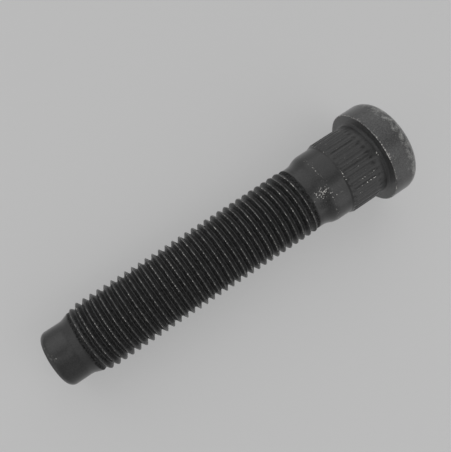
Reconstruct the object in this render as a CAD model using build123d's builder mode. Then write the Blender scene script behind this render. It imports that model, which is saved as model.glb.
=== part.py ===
"""A press-in wheel stud: round head, splined shank, shoulder, neck, threaded length and pilot tip.

The stud is one solid of revolution with a ring of spline ridges on its shank. Its fine metric
thread is left off, and the threaded length has the diameter over the thread's crests.
It stands on the outer face of its head, with its axis on +Z and the pilot tip at the top.
All sizes are in millimetres and all angles in degrees.
"""

import math
import os

from build123d import *

# Shoulder, flare and neck
shoulder_diameter = 14.95
shoulder_length = 2.7
flare_length = 3.4
neck_step = 0.265
neck_length = 0.7

# Splined shank: a band raised from the shoulder, whose ridges bite into the hub
spline_band_height = 0.19
spline_band_slope_length = 0.3
spline_ridge_height = 0.235
spline_length = 6.9
spline_lead_length = 0.7
spline_ridge_count = 38
spline_crest_width = 0.25
spline_flank_angle = 45.0
spline_start_angle = 6.84

# Head, with a plain relief between its seat and the ridges
head_thickness = 6.1
head_edge_radius = 2.4
seat_width = 1.95
seat_edge_chamfer = 0.2
seat_root_radius = 0.6
relief_length = 1.6

# Threaded length, with a short cone at the neck and a long one at the pilot
thread_diameter = 13.85
thread_length = 45.8
thread_end_length = 1.5
lead_length = 3.6
lead_blend_radius = 3.0

# Pilot tip
pilot_step = 1.325
pilot_length = 4.6
pilot_edge_radius = 1.2

# How far a ridge reaches into the band that carries it
RIDGE_OVERLAP = 0.2

# Radii, each from the one that it steps up or down from
shoulder_radius = shoulder_diameter / 2
spline_root_radius = shoulder_radius + spline_band_height
spline_radius = spline_root_radius + spline_ridge_height
head_radius = spline_radius + seat_width
thread_radius = thread_diameter / 2
neck_radius = thread_radius - neck_step
pilot_radius = thread_radius - pilot_step

# Levels along the axis, stacked from the outer face of the head
seat_z = head_thickness
spline_base_z = seat_z + relief_length
spline_top_z = spline_base_z + spline_length
shoulder_base_z = spline_top_z + spline_band_slope_length
shoulder_top_z = shoulder_base_z + shoulder_length
neck_base_z = shoulder_top_z + flare_length
neck_top_z = neck_base_z + neck_length
thread_base_z = neck_top_z + thread_end_length
lead_base_z = thread_base_z + thread_length
pilot_base_z = lead_base_z + lead_length
tip_z = pilot_base_z + pilot_length

# One ridge of the spline: a tapered bar whose crest slopes down at both ends
with BuildPart() as spline_ridge:
    foot_radius = spline_root_radius - RIDGE_OVERLAP
    flank_run = (spline_radius - foot_radius) * math.tan(math.radians(spline_flank_angle))
    crest_half = spline_crest_width / 2
    with BuildSketch(Plane.XY.offset(spline_base_z)):
        with BuildLine():
            Polyline(
                (foot_radius, -crest_half - flank_run),
                (spline_radius, -crest_half),
                (spline_radius, crest_half),
                (foot_radius, crest_half + flank_run),
                close=True,
            )
        make_face()
    extrude(amount=spline_length)
    crest_face = spline_ridge.faces().sort_by(Axis.X)[-1]
    chamfer(
        crest_face.edges().filter_by(Axis.Y),
        length=spline_lead_length,
        length2=spline_ridge_height,
        reference=crest_face,
    )

# The whole stud: a turned blank with the ridges set around its shank
with BuildPart() as wheel_stud:
    with BuildSketch(Plane.XZ) as blank:
        with BuildLine():
            Polyline(
                (0, 0),
                (head_radius, 0),
                (head_radius, seat_z),
                (spline_root_radius, seat_z),
                (spline_root_radius, spline_top_z),
                (shoulder_radius, shoulder_base_z),
                (shoulder_radius, shoulder_top_z),
            )
            flare_middle = (
                (shoulder_radius + neck_radius) / 2,
                (shoulder_top_z + neck_base_z) / 2,
            )
            shoulder_round = TangentArc(
                (shoulder_radius, shoulder_top_z), flare_middle, tangent=(0, 1)
            )
            TangentArc(flare_middle, (neck_radius, neck_base_z), tangent=shoulder_round % 1)
            Polyline(
                (neck_radius, neck_base_z),
                (neck_radius, neck_top_z),
                (thread_radius, thread_base_z),
                (thread_radius, lead_base_z),
                (pilot_radius, pilot_base_z),
                (pilot_radius, tip_z),
                (0, tip_z),
                (0, 0),
            )
        make_face()
        rounded_corners = [
            ((head_radius, 0), head_edge_radius),
            ((spline_root_radius, seat_z), seat_root_radius),
            ((pilot_radius, pilot_base_z), lead_blend_radius),
            ((pilot_radius, tip_z), pilot_edge_radius),
        ]
        for corner, corner_radius in rounded_corners:
            fillet(blank.vertices().sort_by_distance(corner)[0], corner_radius)
        chamfer(blank.vertices().sort_by_distance((head_radius, seat_z))[0], seat_edge_chamfer)
    revolve(axis=Axis.Z)
    with PolarLocations(0, spline_ridge_count, start_angle=spline_start_angle):
        add(spline_ridge.part)

wheel_stud.part.label = "wheel_stud"

os.makedirs("parts", exist_ok=True)
export_step(wheel_stud.part, "parts/wheel_stud.step")
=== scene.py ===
"""Looks of the wheel stud: black phosphated steel with a rolled fine thread, resting on a pale board.

The stud keeps the frame of its solid: head down on the origin, axis on +Z, pilot tip up.
The board is the surface that the stud's side rests on, so it stands upright behind the stud,
and the camera is turned about its view axis until the stud crosses the picture from corner to corner.
Sizes are in millimetres until a mesh is made, and in metres from there.
"""

import math

import bpy
import numpy as np
from mathutils import Matrix, Vector


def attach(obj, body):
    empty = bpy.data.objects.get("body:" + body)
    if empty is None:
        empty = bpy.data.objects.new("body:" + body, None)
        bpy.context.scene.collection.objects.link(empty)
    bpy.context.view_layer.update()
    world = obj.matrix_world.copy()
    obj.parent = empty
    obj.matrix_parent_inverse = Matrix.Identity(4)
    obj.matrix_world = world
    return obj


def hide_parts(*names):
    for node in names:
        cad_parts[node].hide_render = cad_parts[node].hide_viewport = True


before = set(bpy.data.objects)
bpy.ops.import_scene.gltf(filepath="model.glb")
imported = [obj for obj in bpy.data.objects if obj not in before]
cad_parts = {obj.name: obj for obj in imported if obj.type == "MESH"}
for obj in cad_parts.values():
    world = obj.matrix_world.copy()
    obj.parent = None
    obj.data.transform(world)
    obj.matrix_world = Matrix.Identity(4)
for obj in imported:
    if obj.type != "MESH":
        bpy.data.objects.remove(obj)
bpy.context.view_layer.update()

MM = 0.001

# Head and seat
HEAD_RADIUS = 9.85
HEAD_EDGE_RADIUS = 2.4
SEAT_Z = 6.1
SEAT_EDGE_RADIUS = 0.2
SEAT_ROOT_RADIUS = 0.6

# Splined shank: a band raised from the shoulder, with ridges on it that slope up from the head's side
SPLINE_ROOT_RADIUS = 7.665
SPLINE_RIDGE_HEIGHT = 0.235
SPLINE_CREST_HALF = 0.125
SPLINE_FLANK_RUN = 0.235
SPLINE_BASE_Z = 7.7
SPLINE_TOP_Z = 14.6
SPLINE_FOOT_GAP = 0.2
SPLINE_FOOT_LENGTH = 1.2
SPLINE_LEAD_LENGTH = 0.7
SPLINE_RIDGE_COUNT = 38
SPLINE_START_ANGLE = math.radians(6.84)

# How far the edges of the slope from the band to the shoulder are eased, across and along the axis
BAND_EASE_ACROSS = 0.02
BAND_EASE_ALONG = 0.05
SHOULDER_EASE_ALONG = 0.06

# Shoulder, flare and neck: the flare is two equal arcs that meet half way
SHOULDER_RADIUS = 7.475
SHOULDER_BASE_Z = 14.9
SHOULDER_TOP_Z = 17.6
NECK_RADIUS = 6.66
NECK_BASE_Z = 21.0
NECK_TOP_Z = 21.7
FLARE_DROP = SHOULDER_RADIUS - NECK_RADIUS
FLARE_RADIUS = (FLARE_DROP**2 + (NECK_BASE_Z - SHOULDER_TOP_Z) ** 2) / (4 * FLARE_DROP)

# Thread: a metric fine thread of 1.5 mm pitch with a rolled, rounded root; crest half width in pitches
THREAD_RADIUS = 6.925
THREAD_BASE_Z = 23.2
THREAD_PITCH = 1.5
THREAD_DEPTH = 0.92
THREAD_FLANK_SLOPE = math.tan(math.radians(60))
THREAD_CREST_HALF = 1 / 16
THREAD_CREST_ROUND = 0.07
THREAD_ROOT_ROUND = 0.16
THREAD_START_Z = 20.47
THREAD_TURNS = 35

# Ends of the thread: it runs out to the neck along a slope, and fades out on the lead cone
RUN_OUT_TOP_Z = 24.4
RUN_OUT_SLOPE = 0.34
THREAD_END_Z = 71.0
THREAD_END_FADE = 0.4

# Lead cone and pilot tip: a hollow blend joins them, a tangent's length to each side of their corner
LEAD_BASE_Z = 69.0
LEAD_TOP_Z = 72.6
LEAD_BLEND_RADIUS = 3.0
PILOT_RADIUS = 5.6
PILOT_EDGE_RADIUS = 1.2
TIP_Z = 77.2
LEAD_SLOPE = (THREAD_RADIUS - PILOT_RADIUS) / (LEAD_TOP_Z - LEAD_BASE_Z)
LEAD_TURN = math.atan(LEAD_SLOPE)
LEAD_TANGENT = LEAD_BLEND_RADIUS * math.tan(LEAD_TURN / 2)
LEAD_BLEND_BASE_Z = LEAD_TOP_Z - LEAD_TANGENT * math.cos(LEAD_TURN)
PILOT_BASE_Z = LEAD_TOP_Z + LEAD_TANGENT

# Columns of the stud's grid: across a ridge, as angles from its middle, and their number round the thread
RIDGE_COLUMNS = np.array([-0.41, -0.34, -0.15, -0.1, 0.1, 0.15, 0.34, 0.41]) / SPLINE_ROOT_RADIUS
THREAD_COLUMNS = 4 * SPLINE_RIDGE_COUNT

# Rows of the grid: shares of a pitch on the thread, and heights from the two ends of the spline
PITCH_ROWS = np.array([0.0, 0.045, 0.085, 0.13, 0.22, 0.34, 0.42, 0.5, 0.58, 0.66, 0.8, 0.915, 0.955])
SPLINE_FOOT_ROWS = np.array([0.2, 0.4, 0.7, 1.05, 1.32, 1.5, 2.3])
SPLINE_LEAD_ROWS = np.array([0.0, 0.12, 0.3, 0.5, 0.66, 0.78, 2.0])

# Rings and rows that split the plain stretches of the outline, and the gap below the thread's lowest ring
HEAD_FACE_RINGS = [3.5, 6.5]
HEAD_SIDE_ROW_Z = 4.1
SEAT_RING = 8.9
RELIEF_ROW_Z = 7.2
SHOULDER_ROW_Z = 16.2
FLARE_ROWS = 11
FLARE_TOP_GAP = 0.2
PILOT_ROWS_Z = [74.0, 75.0]
TIP_FACE_RINGS = [4.2, 2.0]

# Line of wear and painted highlight on the thread's crests: its two ends, and its shift towards the pilot and
# half width in pitches
CREST_LINE_BASE_Z = 22.42
CREST_LINE_TOP_Z = 70.7
CREST_LINE_SHIFT = 0.06
CREST_LINE_HALF = 0.055

# The thread's grooves are painted in shade from this height up, and a flank is all in painted shade at this
# depth under the crests
DARK_BASE_Z = 21.85
DARK_FLANK_DEPTH = 0.1

# Shares of the oil film that are lost: in the grooves, with their painted shade, besides that in the last
# ones, and on the flat ends
GROOVE_FILM_LOSS = 0.3
LAST_GROOVE_FILM_LOSS = 0.6
FLAT_END_FILM_LOSS = 0.8

# Polar angle of the line along the stud that faces the camera
FRONT_ANGLE = math.radians(-45.0)

# Where the camera stands and looks, and how far it is turned about its view axis
CAMERA_PLACE = Vector((72.33, -72.33, 53.475)) * MM
CAMERA_AIM = Vector((2.606, 2.606, 37.313)) * MM
CAMERA_TURN = math.radians(-123.16)
CAMERA_LENS = 42.49
CAMERA_SENSOR_WIDTH = 36.0
CAMERA_CLIP_START = 5 * MM

# The board touches the head's rim and the thread's first full turn, and a share of its paleness is its own
BOARD_CONTACT_Z = 5.9
BOARD_LEAN = (HEAD_RADIUS - THREAD_RADIUS) / (LEAD_BASE_Z - BOARD_CONTACT_Z)
BOARD_HALF_SIDE = 2000.0
BOARD_GLOW_SHARE = 0.45

# Lamps: name, direction as right, up and back in the picture, distance and sides in metres, power in watts
SOFT_LIGHTS = [
    ("window_light", (-0.2, 0.84, 0.5), 0.9, (1.4, 1.4), 4.9),
    ("right_light", (0.8, -0.3, 0.5), 0.25, (0.3, 0.3), 0.2),
    ("strip_light", (0.16, -0.08, 1.0), 0.5, (0.8, 0.16), 0.36),
    ("left_light", (-0.9, 0.2, 0.4), 0.15, (0.2, 0.2), 0.03),
    ("tip_light", (-0.8, -0.5, 0.4), 0.5, (0.6, 0.6), 0.5),
    ("bounce_light", (0.0, 0.1, -1.0), 0.5, (0.9, 0.9), 6.0),
]


def linear(hex_colour):
    """The linear colour of an sRGB hex value: each channel is divided by 255, then its curve is undone."""
    channels = [int(hex_colour[place:place + 2], 16) / 255 for place in (1, 3, 5)]
    undone = [c / 12.92 if c <= 0.04045 else ((c + 0.055) / 1.055) ** 2.4 for c in channels]
    return (*undone, 1.0)


def add_node(tree, kind, inputs=None, **settings):
    """Adds a node with its settings; an input given as a socket is linked, and any other is set."""
    node = tree.nodes.new(kind)
    for name, value in settings.items():
        setattr(node, name, value)
    for name, value in (inputs or {}).items():
        if isinstance(value, bpy.types.NodeSocket):
            tree.links.new(value, node.inputs[name])
        else:
            node.inputs[name].default_value = value
    return node


def near(value, centre, reach):
    """A smooth hill: 1 at the centre, and falling off with the square of the distance over the reach."""
    return np.exp(-(((value - centre) / reach) ** 2))


def rise(value, start, length):
    """A ramp: 0 up to the start, rising evenly to 1 over the length, and 1 past it."""
    return np.clip((value - start) / length, 0, 1)


def fall(value, end, length):
    """A ramp: 1 at first, falling evenly to 0 over the length before the end, and 0 past it."""
    return np.clip((end - value) / length, 0, 1)


def arc_points(centre, radius, from_degrees, to_degrees, steps):
    """Points (r, z) on a circle about centre: r and z are centre plus radius times cosine and sine."""
    angle = np.radians(np.linspace(from_degrees, to_degrees, steps + 1))
    return np.stack([centre[0] + radius * np.cos(angle), centre[1] + radius * np.sin(angle)], axis=1)


def flare_radius(z):
    """Radius of the S-shaped flare: two equal arcs that meet half way, one round and one hollow."""
    rounded = SHOULDER_RADIUS - FLARE_RADIUS + np.sqrt(FLARE_RADIUS**2 - (z - SHOULDER_TOP_Z) ** 2)
    hollow = NECK_RADIUS + FLARE_RADIUS - np.sqrt(FLARE_RADIUS**2 - (NECK_BASE_Z - z) ** 2)
    return np.where(z < (SHOULDER_TOP_Z + NECK_BASE_Z) / 2, rounded, hollow)


def blank_radius(z):
    """Radius of the bare rod from the flare to the pilot: flare, neck, short cone, rod, lead cone, blend."""
    neck_cone_slope = (THREAD_RADIUS - NECK_RADIUS) / (THREAD_BASE_Z - NECK_TOP_Z)
    neck_cone = NECK_RADIUS + (z - NECK_TOP_Z) * neck_cone_slope
    lead_cone = THREAD_RADIUS - (z - LEAD_BASE_Z) * LEAD_SLOPE
    below_pilot = np.clip(PILOT_BASE_Z - z, 0, PILOT_BASE_Z - LEAD_BLEND_BASE_Z)
    blend = PILOT_RADIUS + LEAD_BLEND_RADIUS - np.sqrt(LEAD_BLEND_RADIUS**2 - below_pilot**2)
    flare = flare_radius(np.clip(z, SHOULDER_TOP_Z, NECK_BASE_Z))
    tops = [NECK_BASE_Z, NECK_TOP_Z, THREAD_BASE_Z, LEAD_BASE_Z, LEAD_BLEND_BASE_Z]
    radii = [flare, NECK_RADIUS, neck_cone, THREAD_RADIUS, lead_cone]
    return np.select([z < top for top in tops], radii, blend)


def thread_cut(angle, z):
    """Depth of the thread below its crests, and the height above the nearest crest in pitches.

    The second comes from the height less the helix's own height at that angle. The depth rises from
    the crest's edge along a 60 degree flank, and is rounded into the crest and into the root. Its
    greatest depth falls along the run-out's slope towards the neck.
    """
    turns = (z - THREAD_START_Z) / THREAD_PITCH - angle / (2 * math.pi)
    above_crest = turns - np.round(turns)
    flank = (np.abs(above_crest) - THREAD_CREST_HALF) * THREAD_PITCH * THREAD_FLANK_SLOPE
    flank = (flank + np.sqrt(flank**2 + THREAD_CREST_ROUND**2)) / 2
    deepest = np.minimum(THREAD_DEPTH, THREAD_DEPTH - (RUN_OUT_TOP_Z - z) * RUN_OUT_SLOPE)
    left = deepest - flank
    return deepest - (left + np.sqrt(left**2 + THREAD_ROOT_ROUND**2)) / 2, above_crest


def rod_radius(angle, z):
    """Radius of the threaded rod: the bare rod's less the thread's cut.

    Where the bare rod is thinner, on the cones at the thread's ends, the cut is scaled to the room
    between the thread's root and the bare rod. It fades out where the thread ends on the lead cone.
    """
    bare = blank_radius(z)
    room = np.clip((bare - THREAD_RADIUS + THREAD_DEPTH) / THREAD_DEPTH, 0, 1)
    fade = fall(z, end=THREAD_END_Z, length=THREAD_END_FADE)
    return bare - np.maximum(thread_cut(angle, z)[0], 0) * room * fade


def lattice_faces(index):
    """Four-cornered faces between neighbouring rows and columns of a grid of vertex numbers."""
    corners = [index[:-1, :-1], index[:-1, 1:], index[1:, 1:], index[1:, :-1]]
    return np.stack([corner.ravel() for corner in corners], axis=1)


def closed_ring(index):
    """A grid of vertex numbers with its first column repeated after its last."""
    return np.concatenate([index, index[:, :1]], axis=1)


def shank_outline():
    """Outline of the head, seat, splined shank, shoulder and flare as points (r, z), without the ridges."""
    head_edge = arc_points(
        (HEAD_RADIUS - HEAD_EDGE_RADIUS, HEAD_EDGE_RADIUS),
        HEAD_EDGE_RADIUS, from_degrees=-90, to_degrees=0, steps=14,
    )
    seat_edge = arc_points(
        (HEAD_RADIUS - SEAT_EDGE_RADIUS, SEAT_Z - SEAT_EDGE_RADIUS),
        SEAT_EDGE_RADIUS, from_degrees=0, to_degrees=90, steps=5,
    )
    seat_root = arc_points(
        (SPLINE_ROOT_RADIUS + SEAT_ROOT_RADIUS, SEAT_Z + SEAT_ROOT_RADIUS),
        SEAT_ROOT_RADIUS, from_degrees=270, to_degrees=180, steps=6,
    )
    spline_z = np.concatenate([SPLINE_BASE_Z + SPLINE_FOOT_ROWS, SPLINE_TOP_Z - SPLINE_LEAD_ROWS[::-1]])
    spline = np.stack([np.full(spline_z.shape, SPLINE_ROOT_RADIUS), spline_z], axis=1)
    band_slope = [
        (SPLINE_ROOT_RADIUS - BAND_EASE_ACROSS, SPLINE_TOP_Z + BAND_EASE_ALONG),
        (SHOULDER_RADIUS + BAND_EASE_ACROSS, SHOULDER_BASE_Z - BAND_EASE_ALONG),
        (SHOULDER_RADIUS, SHOULDER_BASE_Z + SHOULDER_EASE_ALONG),
    ]
    flare_z = np.linspace(SHOULDER_TOP_Z, THREAD_START_Z - FLARE_TOP_GAP, FLARE_ROWS)
    flare = np.stack([flare_radius(flare_z), flare_z], axis=1)
    return np.concatenate([
        [(ring, 0.0) for ring in HEAD_FACE_RINGS],
        head_edge,
        [(HEAD_RADIUS, HEAD_SIDE_ROW_Z)],
        seat_edge,
        [(SEAT_RING, SEAT_Z)],
        seat_root,
        [(SPLINE_ROOT_RADIUS, RELIEF_ROW_Z)],
        spline,
        band_slope,
        [(SHOULDER_RADIUS, SHOULDER_ROW_Z)],
        flare,
    ])


def head_and_shank():
    """Rows of the head, seat, splined shank, shoulder and flare as radius, height and angle grids.

    The outline is carried round the axis. On the spline the radius is the root's plus the smaller of
    two heights: the ridge's, which falls along its flank with the angle, and the end's, which rises
    with the height over a long foot on the head's side and over a short lead on the shoulder's side.
    """
    outline = shank_outline()
    ridges = SPLINE_START_ANGLE + 2 * math.pi * np.arange(SPLINE_RIDGE_COUNT) / SPLINE_RIDGE_COUNT
    angle = (ridges[:, None] + RIDGE_COLUMNS[None]).ravel()
    from_ridge = np.tile(np.abs(RIDGE_COLUMNS) * SPLINE_ROOT_RADIUS, SPLINE_RIDGE_COUNT)
    ridge = np.clip(1 - (from_ridge - SPLINE_CREST_HALF) / SPLINE_FLANK_RUN, 0, 1)
    z = outline[:, 1]
    foot = rise(z, start=SPLINE_BASE_Z + SPLINE_FOOT_GAP, length=SPLINE_FOOT_LENGTH)
    lead = fall(z, end=SPLINE_TOP_Z, length=SPLINE_LEAD_LENGTH)
    height = SPLINE_RIDGE_HEIGHT * np.minimum(ridge[None], np.minimum(foot, lead)[:, None])
    radius = outline[:, :1] + height
    shape = radius.shape
    return radius, np.broadcast_to(z[:, None], shape), np.broadcast_to(angle[None], shape)


def thread_grid():
    """Height and angle grids of the thread, its two end wedges, and the numbers that join them.

    A thread row climbs one pitch in a turn: its height is the start plus its share of a pitch, plus
    the angle over a turn times the pitch. So the end of a row meets the start of the row one pitch
    above it. Each end wedge fills the turn between a level ring and the first or last row: its rows
    divide the gap between the two in the same shares as a pitch, and close to a point where they meet.
    """
    rows_per_pitch = len(PITCH_ROWS)
    turn = np.arange(THREAD_COLUMNS) / THREAD_COLUMNS
    shares = np.append(PITCH_ROWS, 1.0)[:, None]
    rows = (np.arange(THREAD_TURNS - 1)[:, None] + PITCH_ROWS[None]).ravel()
    rows = np.append(rows, THREAD_TURNS - 1.0)[:, None]
    lower = shares * turn[None]
    helix = rows + turn[None]
    upper = rows[-1] + turn[None] + shares * (1 - turn[None])
    heights = [THREAD_START_Z + THREAD_PITCH * part for part in (lower, helix, upper)]
    counts = [part.size for part in heights]
    starts = np.concatenate([[0], np.cumsum(counts)])
    numbers = [
        start + np.arange(part.size).reshape(part.shape) for start, part in zip(starts, heights)
    ]
    lower_index, helix_index, upper_index = numbers
    helix_index[0, 0] = lower_index[0, 0]
    lower_index[:, 0] = lower_index[0, 0]
    lower_index[-1] = helix_index[0]
    upper_index[0] = helix_index[-1]
    lower_seam = helix_index[: rows_per_pitch + 1, :1]
    helix_seam = np.concatenate([helix_index[rows_per_pitch:, :1], upper_index[1:, :1]])
    upper_seam = np.full_like(upper_index[:, :1], upper_index[-1, 0])
    faces = [
        lattice_faces(np.concatenate([lower_index, lower_seam], axis=1)),
        lattice_faces(np.concatenate([helix_index, helix_seam], axis=1)),
        lattice_faces(np.concatenate([upper_index, upper_seam], axis=1)),
    ]
    z = np.concatenate([part.ravel() for part in heights])
    angle = np.concatenate([np.broadcast_to(2 * math.pi * turn, part.shape).ravel() for part in heights])
    return z, angle, np.concatenate(faces), lower_index[0], upper_index[-1]


def pilot_tip():
    """Rows of the pilot tip: a plain cylinder and a quarter-round edge, carried round the axis."""
    wall_z = np.array([PILOT_BASE_Z, *PILOT_ROWS_Z])
    wall = np.stack([blank_radius(wall_z), wall_z], axis=1)
    edge = arc_points(
        (PILOT_RADIUS - PILOT_EDGE_RADIUS, TIP_Z - PILOT_EDGE_RADIUS),
        PILOT_EDGE_RADIUS, from_degrees=0, to_degrees=90, steps=9,
    )
    outline = np.concatenate([wall, edge, [(ring, TIP_Z) for ring in TIP_FACE_RINGS]])
    angle = 2 * math.pi * np.arange(THREAD_COLUMNS) / THREAD_COLUMNS
    return np.broadcast_arrays(outline[:, :1], outline[:, 1:], angle[None])


def degrees_down(angle):
    """Degrees round the axis from the line that faces the camera, positive towards the picture's foot."""
    return np.degrees((FRONT_ANGLE - angle + math.pi) % (2 * math.pi) - math.pi)


def round_mark(angle, share, extra, down, spread):
    """A share that is the same all round, plus an extra times a hill about an angle."""
    return share + extra * near(degrees_down(angle), down, spread)


def spot_mark(angle, z, share, height, reach, down, spread):
    """A share at one spot: it times a hill about the spot's height and a hill about its angle."""
    return share * near(z, height, reach) * near(degrees_down(angle), down, spread)


def crest_line(angle, z):
    """A thin line along the thread's crests, just on the pilot's side of them where they catch the light,
    from 0 to 1 at its middle; it is wear and a painted highlight.

    It falls evenly from its middle to its two edges, and fades out at the thread's ends.
    """
    from_middle = np.abs(thread_cut(angle, z)[1] - CREST_LINE_SHIFT)
    line = fall(from_middle, end=CREST_LINE_HALF, length=CREST_LINE_HALF)
    return line * rise(z, start=CREST_LINE_BASE_Z, length=0.8) * fall(z, end=CREST_LINE_TOP_Z, length=0.3)


def head_rim(radius, z):
    """A hill about the edge between the head's side and its seat."""
    return near(radius, centre=HEAD_RADIUS - 0.1, reach=0.16) * near(z, centre=SEAT_Z - 0.08, reach=0.16)


def rubbed_and_glint_share(radius, angle, z):
    """Share of the finish shown as bare steel specks at each point, from 0 to 1: rubbed wear, and painted
    glints.

    Each place is a hill about its height, angle or radius, or a line along crests or an edge, and some are
    stronger on the side that faces the camera, where the specks are painted glints. The largest share wins.
    """
    on_spline = (z > SPLINE_BASE_Z) & (z < SPLINE_TOP_Z)
    ridge_crest = on_spline * rise(radius, start=SPLINE_ROOT_RADIUS, length=SPLINE_RIDGE_HEIGHT)
    first_crests = spot_mark(angle, z, share=0.2, height=69.5, reach=4.0, down=-14, spread=20)
    ridge_foot = near(z, centre=SPLINE_BASE_Z + 0.9, reach=0.35)
    band_edge = near(z, centre=SPLINE_TOP_Z + 0.06, reach=0.14)
    shoulder_round = near(z, centre=18.3, reach=0.4)
    # The extras towards the camera's side and the spots there set specks as painted glints as well as rubbed
    # wear
    places = {
        "thread crests": (0.62 + first_crests) * crest_line(angle, z),
        "ridge crests": round_mark(angle, share=0.2, extra=0.15, down=32, spread=14) * ridge_crest**2,
        "ridge feet": round_mark(angle, share=0.3, extra=0.3, down=22, spread=10) * ridge_crest * ridge_foot,
        "head rim": round_mark(angle, share=0.48, extra=0.35, down=13, spread=10) * head_rim(radius, z),
        "band edge": round_mark(angle, share=0.25, extra=0.3, down=4, spread=12) * band_edge,
        "shoulder round": 0.33 * shoulder_round,
        "neck scuff and glints": spot_mark(angle, z, share=0.57, height=19.7, reach=1.8, down=11, spread=11),
        "shoulder scratch": spot_mark(angle, z, share=0.46, height=16.8, reach=1.6, down=24, spread=2),
        "seat corner": spot_mark(angle, z, share=0.6, height=SEAT_Z + 0.65, reach=0.2, down=8, spread=8),
        "pilot edge": spot_mark(angle, z, share=0.55, height=TIP_Z - 1.2, reach=0.3, down=-6, spread=8),
    }
    return np.maximum.reduce(list(places.values()))


def worn_and_highlight_share(radius, angle, z):
    """How far the finish is worn thin and pale at each point, from 0 to 1, partly as painted highlights.

    It is greatest along the thread's crests, round the head's outer edge and on its rim, where the pale also
    stands for painted highlights, and is less at the ridges' feet, on the shoulder's round and along the
    edges of the band and the pilot.
    """
    head_edge = fall(z, end=3.8, length=1.8) * rise(radius, start=6.0, length=1.5)
    on_ridge = rise(radius, start=SPLINE_ROOT_RADIUS, length=0.1)
    places = {
        "thread crests": crest_line(angle, z),
        "head edge": 0.77 * head_edge,
        "head rim": 0.85 * head_rim(radius, z),
        "ridge feet": 0.38 * on_ridge * near(z, centre=SPLINE_BASE_Z + 0.8, reach=0.5),
        "shoulder round": 0.35 * near(z, centre=18.3, reach=0.7),
        "pilot edge": 0.46 * near(z, centre=TIP_Z - 0.6, reach=0.6),
        "band edge": 0.27 * near(z, centre=SPLINE_TOP_Z, reach=0.4),
    }
    return np.maximum.reduce(list(places.values()))


def dry_share(angle, z):
    """How dry and grey the finish is, from 0 to 1.

    The head has lost its oil, and the shank keeps it but for the relief under the head and a spot on the
    shoulder.
    """
    places = {
        "head": fall(z, end=SEAT_Z + 0.3, length=0.3),
        "relief": 0.6 * near(z, centre=7.4, reach=0.5),
        "shoulder": spot_mark(angle, z, share=0.5, height=16.8, reach=1.8, down=38, spread=16),
    }
    return np.maximum.reduce(list(places.values()))


def recess_shade(radius, angle, z):
    """How far each point is darkened, from 0 to 1: by painted shade in the hollows, and by a dark patch on
    the neck.

    In the thread it is painted shade, the groove's depth over the depth at which the flank is all dark. Under
    the head it is painted shade, a hill about the corner between the seat and the shank. On the neck it is a
    dark patch, a hill cut to a flat top and steep sides.
    """
    in_thread = rise(z, start=DARK_BASE_Z, length=0.2) * fall(z, end=THREAD_END_Z, length=0.2)
    near_corner = near(z, centre=SEAT_Z + 0.2, reach=0.35)
    neck_patch_hill = spot_mark(angle, z, share=1.0, height=20.1, reach=1.5, down=30, spread=10)
    places = {
        # The thread and the seat corner are painted shade; the neck share is a dark patch
        "thread": in_thread * rise(thread_cut(angle, z)[0], start=0.0, length=DARK_FLANK_DEPTH),
        "seat corner": 0.2 * near_corner * near(radius, centre=SPLINE_ROOT_RADIUS + 0.2, reach=0.4),
        "neck dark patch": 0.8 * rise(neck_patch_hill, start=1 / 3, length=1 / 3),
    }
    return np.maximum.reduce(list(places.values()))


def film_share(radius, angle, z):
    """How much of an oil film lies on the finish, from 0 to 1.

    It is full but for the grooves, where it is thinned with the painted shade so that they stay dark, most of
    all in the shallow last grooves, and for the flat ends, which are wiped.
    """
    flat_ends = np.maximum(fall(z, end=0.8, length=0.6), rise(z, start=TIP_Z - 0.5, length=0.4))
    last_grooves = near(z, centre=22.5, reach=0.7) + near(z, centre=70.6, reach=0.4)
    groove_loss = GROOVE_FILM_LOSS + LAST_GROOVE_FILM_LOSS * last_grooves
    return 1 - np.maximum(groove_loss * recess_shade(radius, angle, z), FLAT_END_FILM_LOSS * flat_ends)


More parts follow.
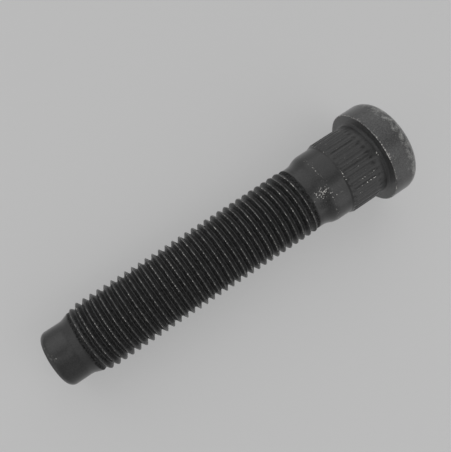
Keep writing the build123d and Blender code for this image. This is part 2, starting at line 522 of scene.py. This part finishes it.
def stud_mesh():
    """One closed surface of the whole stud, with the shares of its finish as point attributes.

    The head and shank's rows have two columns for each one of the thread's, and a band of triangles
    joins the two. A fan closes each end at the axis. A four-cornered face with two corners on one
    vertex, at the points of the thread's end wedges, is made a triangle.
    """
    shank_radius, shank_z, shank_angle = head_and_shank()
    thread_z, thread_angle, thread_faces, thread_foot, thread_top = thread_grid()
    tip_radius, tip_z, tip_angle = pilot_tip()
    thread_radius = rod_radius(thread_angle, thread_z)

    radius = np.concatenate([shank_radius.ravel(), thread_radius, tip_radius.ravel(), [0.0, 0.0]])
    z = np.concatenate([shank_z.ravel(), thread_z, tip_z.ravel(), [0.0, TIP_Z]])
    angle = np.concatenate([shank_angle.ravel(), thread_angle, tip_angle.ravel(), [0.0, 0.0]])
    thread_start = shank_radius.size
    tip_start = thread_start + thread_radius.size
    head_pole = tip_start + tip_radius.size
    tip_pole = head_pole + 1

    shank_index = np.arange(shank_radius.size).reshape(shank_radius.shape)
    tip_index = tip_start + np.arange(tip_radius.size).reshape(tip_radius.shape)
    tip_index = np.concatenate([thread_start + thread_top[None], tip_index])
    quads = np.concatenate([
        lattice_faces(closed_ring(shank_index)),
        thread_start + thread_faces,
        lattice_faces(closed_ring(tip_index)),
    ])

    foot = thread_start + np.roll(thread_foot, -1)
    next_foot = np.roll(foot, -1)
    fine = shank_index[-1, 0::2]
    middle = shank_index[-1, 1::2]
    next_fine = np.roll(fine, -1)
    head_ring = shank_index[0]
    tip_ring = tip_index[-1]
    fans = [
        (fine, middle, foot),
        (middle, next_fine, next_foot),
        (middle, next_foot, foot),
        (np.full_like(head_ring, head_pole), np.roll(head_ring, -1), head_ring),
        (np.full_like(tip_ring, tip_pole), tip_ring, np.roll(tip_ring, -1)),
    ]
    triangles = np.concatenate([np.stack(fan, axis=1) for fan in fans])

    used, numbers = np.unique(np.concatenate([quads.ravel(), triangles.ravel()]), return_inverse=True)
    quads = numbers[: quads.size].reshape(-1, 4)
    triangles = numbers[quads.size:].reshape(-1, 3)
    own_corner = quads != np.roll(quads, 1, axis=1)
    folded = ~own_corner.all(axis=1)
    wedge_triangles = quads[folded][own_corner[folded]].reshape(-1, 3)
    faces = quads[~folded].tolist() + triangles.tolist() + wedge_triangles.tolist()
    points = np.stack([radius * np.cos(angle), radius * np.sin(angle), z], axis=1)[used] * MM

    mesh = bpy.data.meshes.new("wheel_stud_steel")
    mesh.from_pydata(points.tolist(), [], faces)
    mesh.polygons.foreach_set("use_smooth", np.ones(len(mesh.polygons), dtype=bool))
    shares = {
        "dry_share": dry_share(angle, z),
        "rubbed_and_glint_share": rubbed_and_glint_share(radius, angle, z),
        "worn_and_highlight_share": worn_and_highlight_share(radius, angle, z),
        "recess_shade": recess_shade(radius, angle, z),
        "film_share": film_share(radius, angle, z),
    }
    for name, values in shares.items():
        attribute = mesh.attributes.new(name, "FLOAT", "POINT")
        attribute.data.foreach_set("value", values[used].astype(np.float32))
    mesh.validate()
    mesh.update()
    return mesh


def black_phosphate():
    """Black manganese phosphate on steel, soaked in oil.

    The crystals give a fine grain and a satin black that is a little uneven where oil has gathered, and the
    thread is painted nearly black as shade. A thin film of oil over it lightens the surface where it is seen
    aslant. It is worn pale on edges and rubbed through on crests, where the steel shows as specks; the pale
    lines are partly painted highlights, and the specks are set most thickly on the side that faces the camera
    as painted glints.
    """
    material = bpy.data.materials.new("black_phosphated_steel")
    material.use_nodes = True
    tree = material.node_tree
    tree.nodes.clear()
    place = add_node(tree, "ShaderNodeTexCoord").outputs["Object"]
    dry, rubbed, worn, recess, film = [
        add_node(tree, "ShaderNodeAttribute", attribute_name=name).outputs["Fac"]
        for name in ("dry_share", "rubbed_and_glint_share", "worn_and_highlight_share", "recess_shade", "film_share")
    ]

    # Crystals are about 0.02 mm across, and are drawn at 0.25 mm so that they show
    grain = add_node(tree, "ShaderNodeTexNoise", {"Vector": place, "Scale": 1 / (0.25 * MM), "Detail": 3.0})
    # Patches where the oil has gathered, about 3 mm across
    oil = add_node(tree, "ShaderNodeTexNoise", {"Vector": place, "Scale": 1 / (3.0 * MM), "Detail": 4.0})
    # Patches that are worn thin and pale, about 1 mm across
    patch = add_node(tree, "ShaderNodeTexNoise", {"Vector": place, "Scale": 1 / (1.0 * MM), "Detail": 4.0})
    # Rubbed specks, about 0.3 mm across
    speck = add_node(tree, "ShaderNodeTexNoise", {"Vector": place, "Scale": 1 / (0.3 * MM), "Detail": 2.0})

    # Black where it is oily, and grey where it is dry
    oily = add_node(
        tree, "ShaderNodeMix",
        {"Factor": oil.outputs["Fac"], "A": linear("#121212"), "B": linear("#282828")},
        data_type="RGBA",
    )
    dried = add_node(
        tree, "ShaderNodeMix",
        {"Factor": dry, "A": oily.outputs["Result"], "B": linear("#3d3d3d")},
        data_type="RGBA",
    )
    # Painted shade in the grooves, mottled in patches as large as the specks
    groove_shade_mottle = add_node(
        tree, "ShaderNodeMapRange", {"Value": speck.outputs["Fac"], "From Min": 0.35, "From Max": 0.65}
    )
    groove_painted_shade = add_node(
        tree, "ShaderNodeMix",
        {"Factor": groove_shade_mottle.outputs["Result"], "A": linear("#080808"), "B": linear("#343434")},
        data_type="RGBA",
    )
    # The recess share lays the painted shade over the tone
    shaded = add_node(
        tree, "ShaderNodeMix",
        {"Factor": recess, "A": dried.outputs["Result"], "B": groove_painted_shade.outputs["Result"]},
        data_type="RGBA",
    )
    # A patch is pale where the noise is above a level that falls as the worn share rises; on the crests, the
    # head's edge and its rim the pale partly stands for painted highlights
    pale_level = add_node(
        tree, "ShaderNodeMapRange", {"Value": worn, "From Max": 1.0, "To Min": 0.85, "To Max": 0.2}
    )
    above_pale = add_node(
        tree, "ShaderNodeMath",
        {0: patch.outputs["Fac"], 1: pale_level.outputs["Result"]},
        operation="SUBTRACT",
    )
    pale = add_node(tree, "ShaderNodeMapRange", {"Value": above_pale.outputs[0], "From Max": 0.35})
    thinned = add_node(
        tree, "ShaderNodeMix",
        {"Factor": pale.outputs["Result"], "A": shaded.outputs["Result"], "B": linear("#80807e")},
        data_type="RGBA",
    )
    # The grain lightens and darkens the tone by about a half
    grain_gain = add_node(
        tree, "ShaderNodeMapRange",
        {"Value": grain.outputs["Fac"], "From Min": 0.3, "From Max": 0.7, "To Min": 0.45, "To Max": 1.55},
    )
    grained = add_node(
        tree, "ShaderNodeVectorMath",
        {0: thinned.outputs["Result"], "Scale": grain_gain.outputs["Result"]},
        operation="SCALE",
    )
    # A speck is bare where the noise is above a level that falls as the rubbed share rises; on the side that
    # faces the camera the specks are painted glints as well as rubbed wear
    bare_level = add_node(
        tree, "ShaderNodeMapRange", {"Value": rubbed, "From Max": 1.0, "To Min": 0.78, "To Max": 0.22}
    )
    above_bare = add_node(
        tree, "ShaderNodeMath",
        {0: speck.outputs["Fac"], 1: bare_level.outputs["Result"]},
        operation="SUBTRACT",
    )
    bare = add_node(tree, "ShaderNodeMapRange", {"Value": above_bare.outputs[0], "From Max": 0.12})
    colour = add_node(
        tree, "ShaderNodeMix",
        {"Factor": bare.outputs["Result"], "A": grained.outputs["Vector"], "B": linear("#c4c2be")},
        data_type="RGBA",
    )
    # Satin on the outside, and matt in the hollows
    satin = add_node(
        tree, "ShaderNodeMapRange", {"Value": grain.outputs["Fac"], "To Min": 0.28, "To Max": 0.5}
    )
    roughness = add_node(tree, "ShaderNodeMix", {"Factor": recess, "A": satin.outputs["Result"], "B": 0.9})
    bump = add_node(
        tree, "ShaderNodeBump", {"Strength": 0.35, "Distance": 0.05 * MM, "Height": grain.outputs["Fac"]}
    )
    # The dull crystals reflect little themselves, and the coat is the film of oil
    shader = add_node(
        tree, "ShaderNodeBsdfPrincipled",
        {
            "Base Color": colour.outputs["Result"],
            "Metallic": bare.outputs["Result"],
            "Roughness": roughness.outputs["Result"],
            "Normal": bump.outputs["Normal"],
            "Specular IOR Level": 0.1,
            "Coat Weight": film,
            "Coat IOR": 1.4,
            "Coat Roughness": 0.34,
        },
    )
    add_node(tree, "ShaderNodeOutputMaterial", {"Surface": shader.outputs["BSDF"]})
    return material


def seen_ray(tree):
    """A socket that is 1 for a ray from the camera or off a mirror-like or clear surface, and else 0."""
    path = add_node(tree, "ShaderNodeLightPath")
    camera_or_glossy = add_node(
        tree, "ShaderNodeMath",
        {0: path.outputs["Is Camera Ray"], 1: path.outputs["Is Glossy Ray"]},
        operation="MAXIMUM",
    )
    seen = add_node(
        tree, "ShaderNodeMath",
        {0: camera_or_glossy.outputs[0], 1: path.outputs["Is Transmission Ray"]},
        operation="MAXIMUM",
    )
    return seen.outputs[0]


def pale_board_paint():
    """Pale matt board, seen and shaded from the stud's side only, so that it hides nothing from behind.

    A part of the paleness that the camera and mirror-like surfaces see is the board's own and evens it
    out. The rest is lit, so that the board keeps the stud's shadow.
    """
    material = bpy.data.materials.new("pale_board")
    material.use_nodes = True
    tree = material.node_tree
    tree.nodes.clear()
    from_behind = add_node(tree, "ShaderNodeNewGeometry").outputs["Backfacing"]
    shadow_ray = add_node(tree, "ShaderNodeLightPath").outputs["Is Shadow Ray"]
    open_side = add_node(tree, "ShaderNodeMath", {0: from_behind, 1: shadow_ray}, operation="MAXIMUM")
    matt = add_node(tree, "ShaderNodeBsdfDiffuse", {"Color": linear("#bcbcbc")})
    glow = add_node(tree, "ShaderNodeEmission", {"Color": linear("#d0d0d0"), "Strength": 1.0})
    glow_share = add_node(
        tree, "ShaderNodeMath", {0: seen_ray(tree), 1: BOARD_GLOW_SHARE}, operation="MULTIPLY"
    )
    front = add_node(
        tree, "ShaderNodeMixShader",
        {0: glow_share.outputs[0], 1: matt.outputs["BSDF"], 2: glow.outputs["Emission"]},
    )
    clear = add_node(tree, "ShaderNodeBsdfTransparent")
    one_sided = add_node(
        tree, "ShaderNodeMixShader",
        {0: open_side.outputs[0], 1: front.outputs["Shader"], 2: clear.outputs["BSDF"]},
    )
    add_node(tree, "ShaderNodeOutputMaterial", {"Surface": one_sided.outputs["Shader"]})
    return material


def board_mesh():
    """A flat square that faces the camera: across and along run from minus to plus half a side."""
    towards_camera = Vector((1.0, -1.0, 0.0)).normalized()
    stud_axis = Vector((0.0, 0.0, 1.0))
    across = np.array(towards_camera.cross(stud_axis))
    facing = (towards_camera - BOARD_LEAN * stud_axis).normalized()
    along = np.array(facing.cross(Vector(across)))
    touch = -np.array(towards_camera) * HEAD_RADIUS + np.array((0.0, 0.0, BOARD_CONTACT_Z))
    reach = np.array([-BOARD_HALF_SIDE, 0.0, BOARD_HALF_SIDE])
    points = touch + reach[None, :, None] * across + reach[:, None, None] * along
    index = np.arange(reach.size**2).reshape(reach.size, reach.size)
    mesh = bpy.data.meshes.new("pale_board")
    mesh.from_pydata((points.reshape(-1, 3) * MM).tolist(), [], lattice_faces(index).tolist())
    mesh.update()
    if mesh.polygons[0].normal.dot(facing) < 0:
        mesh.flip_normals()
    return mesh


def make_camera():
    """Camera at its place, turned to its aim, then turned about its own view axis."""
    data = bpy.data.cameras.new("photo_camera")
    data.lens = CAMERA_LENS
    data.sensor_width = CAMERA_SENSOR_WIDTH
    data.clip_start = CAMERA_CLIP_START
    camera = bpy.data.objects.new("photo_camera", data)
    bpy.context.scene.collection.objects.link(camera)
    upright = (CAMERA_AIM - CAMERA_PLACE).to_track_quat("-Z", "Y").to_matrix()
    turned = upright @ Matrix.Rotation(CAMERA_TURN, 3, "Z")
    camera.matrix_world = Matrix.Translation(CAMERA_PLACE) @ turned.to_4x4()
    bpy.context.scene.camera = camera
    return camera


def add_soft_light(camera_turn, name, direction, distance, sides, power):
    """An oblong lamp at a distance from the stud's middle, facing it.

    Its direction is given as right, up and back in the picture, and its long side lies level there.
    """
    data = bpy.data.lights.new(name, "AREA")
    data.shape = "RECTANGLE"
    data.size, data.size_y = sides
    data.energy = power
    lamp = bpy.data.objects.new(name, data)
    lamp.visible_camera = False
    bpy.context.scene.collection.objects.link(lamp)
    towards = (camera_turn @ Vector(direction)).normalized()
    middle = Vector((0.0, 0.0, TIP_Z / 2 * MM))
    level = (camera_turn @ Vector((1.0, 0.0, 0.0))).cross(towards).cross(towards).normalized()
    turn = Matrix((-level, towards.cross(-level), towards)).transposed().to_4x4()
    lamp.matrix_world = Matrix.Translation(middle + towards * distance) @ turn


def light_world():
    """An even pale room. What the camera or a mirror-like surface sees of it is the board's own grey."""
    world = bpy.data.worlds.new("pale_room")
    bpy.context.scene.world = world
    world.use_nodes = True
    tree = world.node_tree
    tree.nodes.clear()
    colour = add_node(
        tree, "ShaderNodeMix",
        {"Factor": seen_ray(tree), "A": linear("#909090"), "B": linear("#bcbcbc")},
        data_type="RGBA",
    )
    background = add_node(
        tree, "ShaderNodeBackground", {"Color": colour.outputs["Result"], "Strength": 1.0}
    )
    add_node(tree, "ShaderNodeOutputWorld", {"Surface": background.outputs["Background"]})


steel = black_phosphate()
stud = bpy.data.objects.new("wheel_stud_steel", stud_mesh())
bpy.context.scene.collection.objects.link(stud)
stud.data.materials.append(steel)
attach(stud, "root")
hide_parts("wheel_stud")

board = bpy.data.objects.new("pale_board", board_mesh())
bpy.context.scene.collection.objects.link(board)
board.data.materials.append(pale_board_paint())

photo_camera = make_camera()
picture_turn = photo_camera.matrix_world.to_3x3()
for lamp_settings in SOFT_LIGHTS:
    add_soft_light(picture_turn, *lamp_settings)
light_world()

bpy.context.scene.view_settings.view_transform = "Standard"
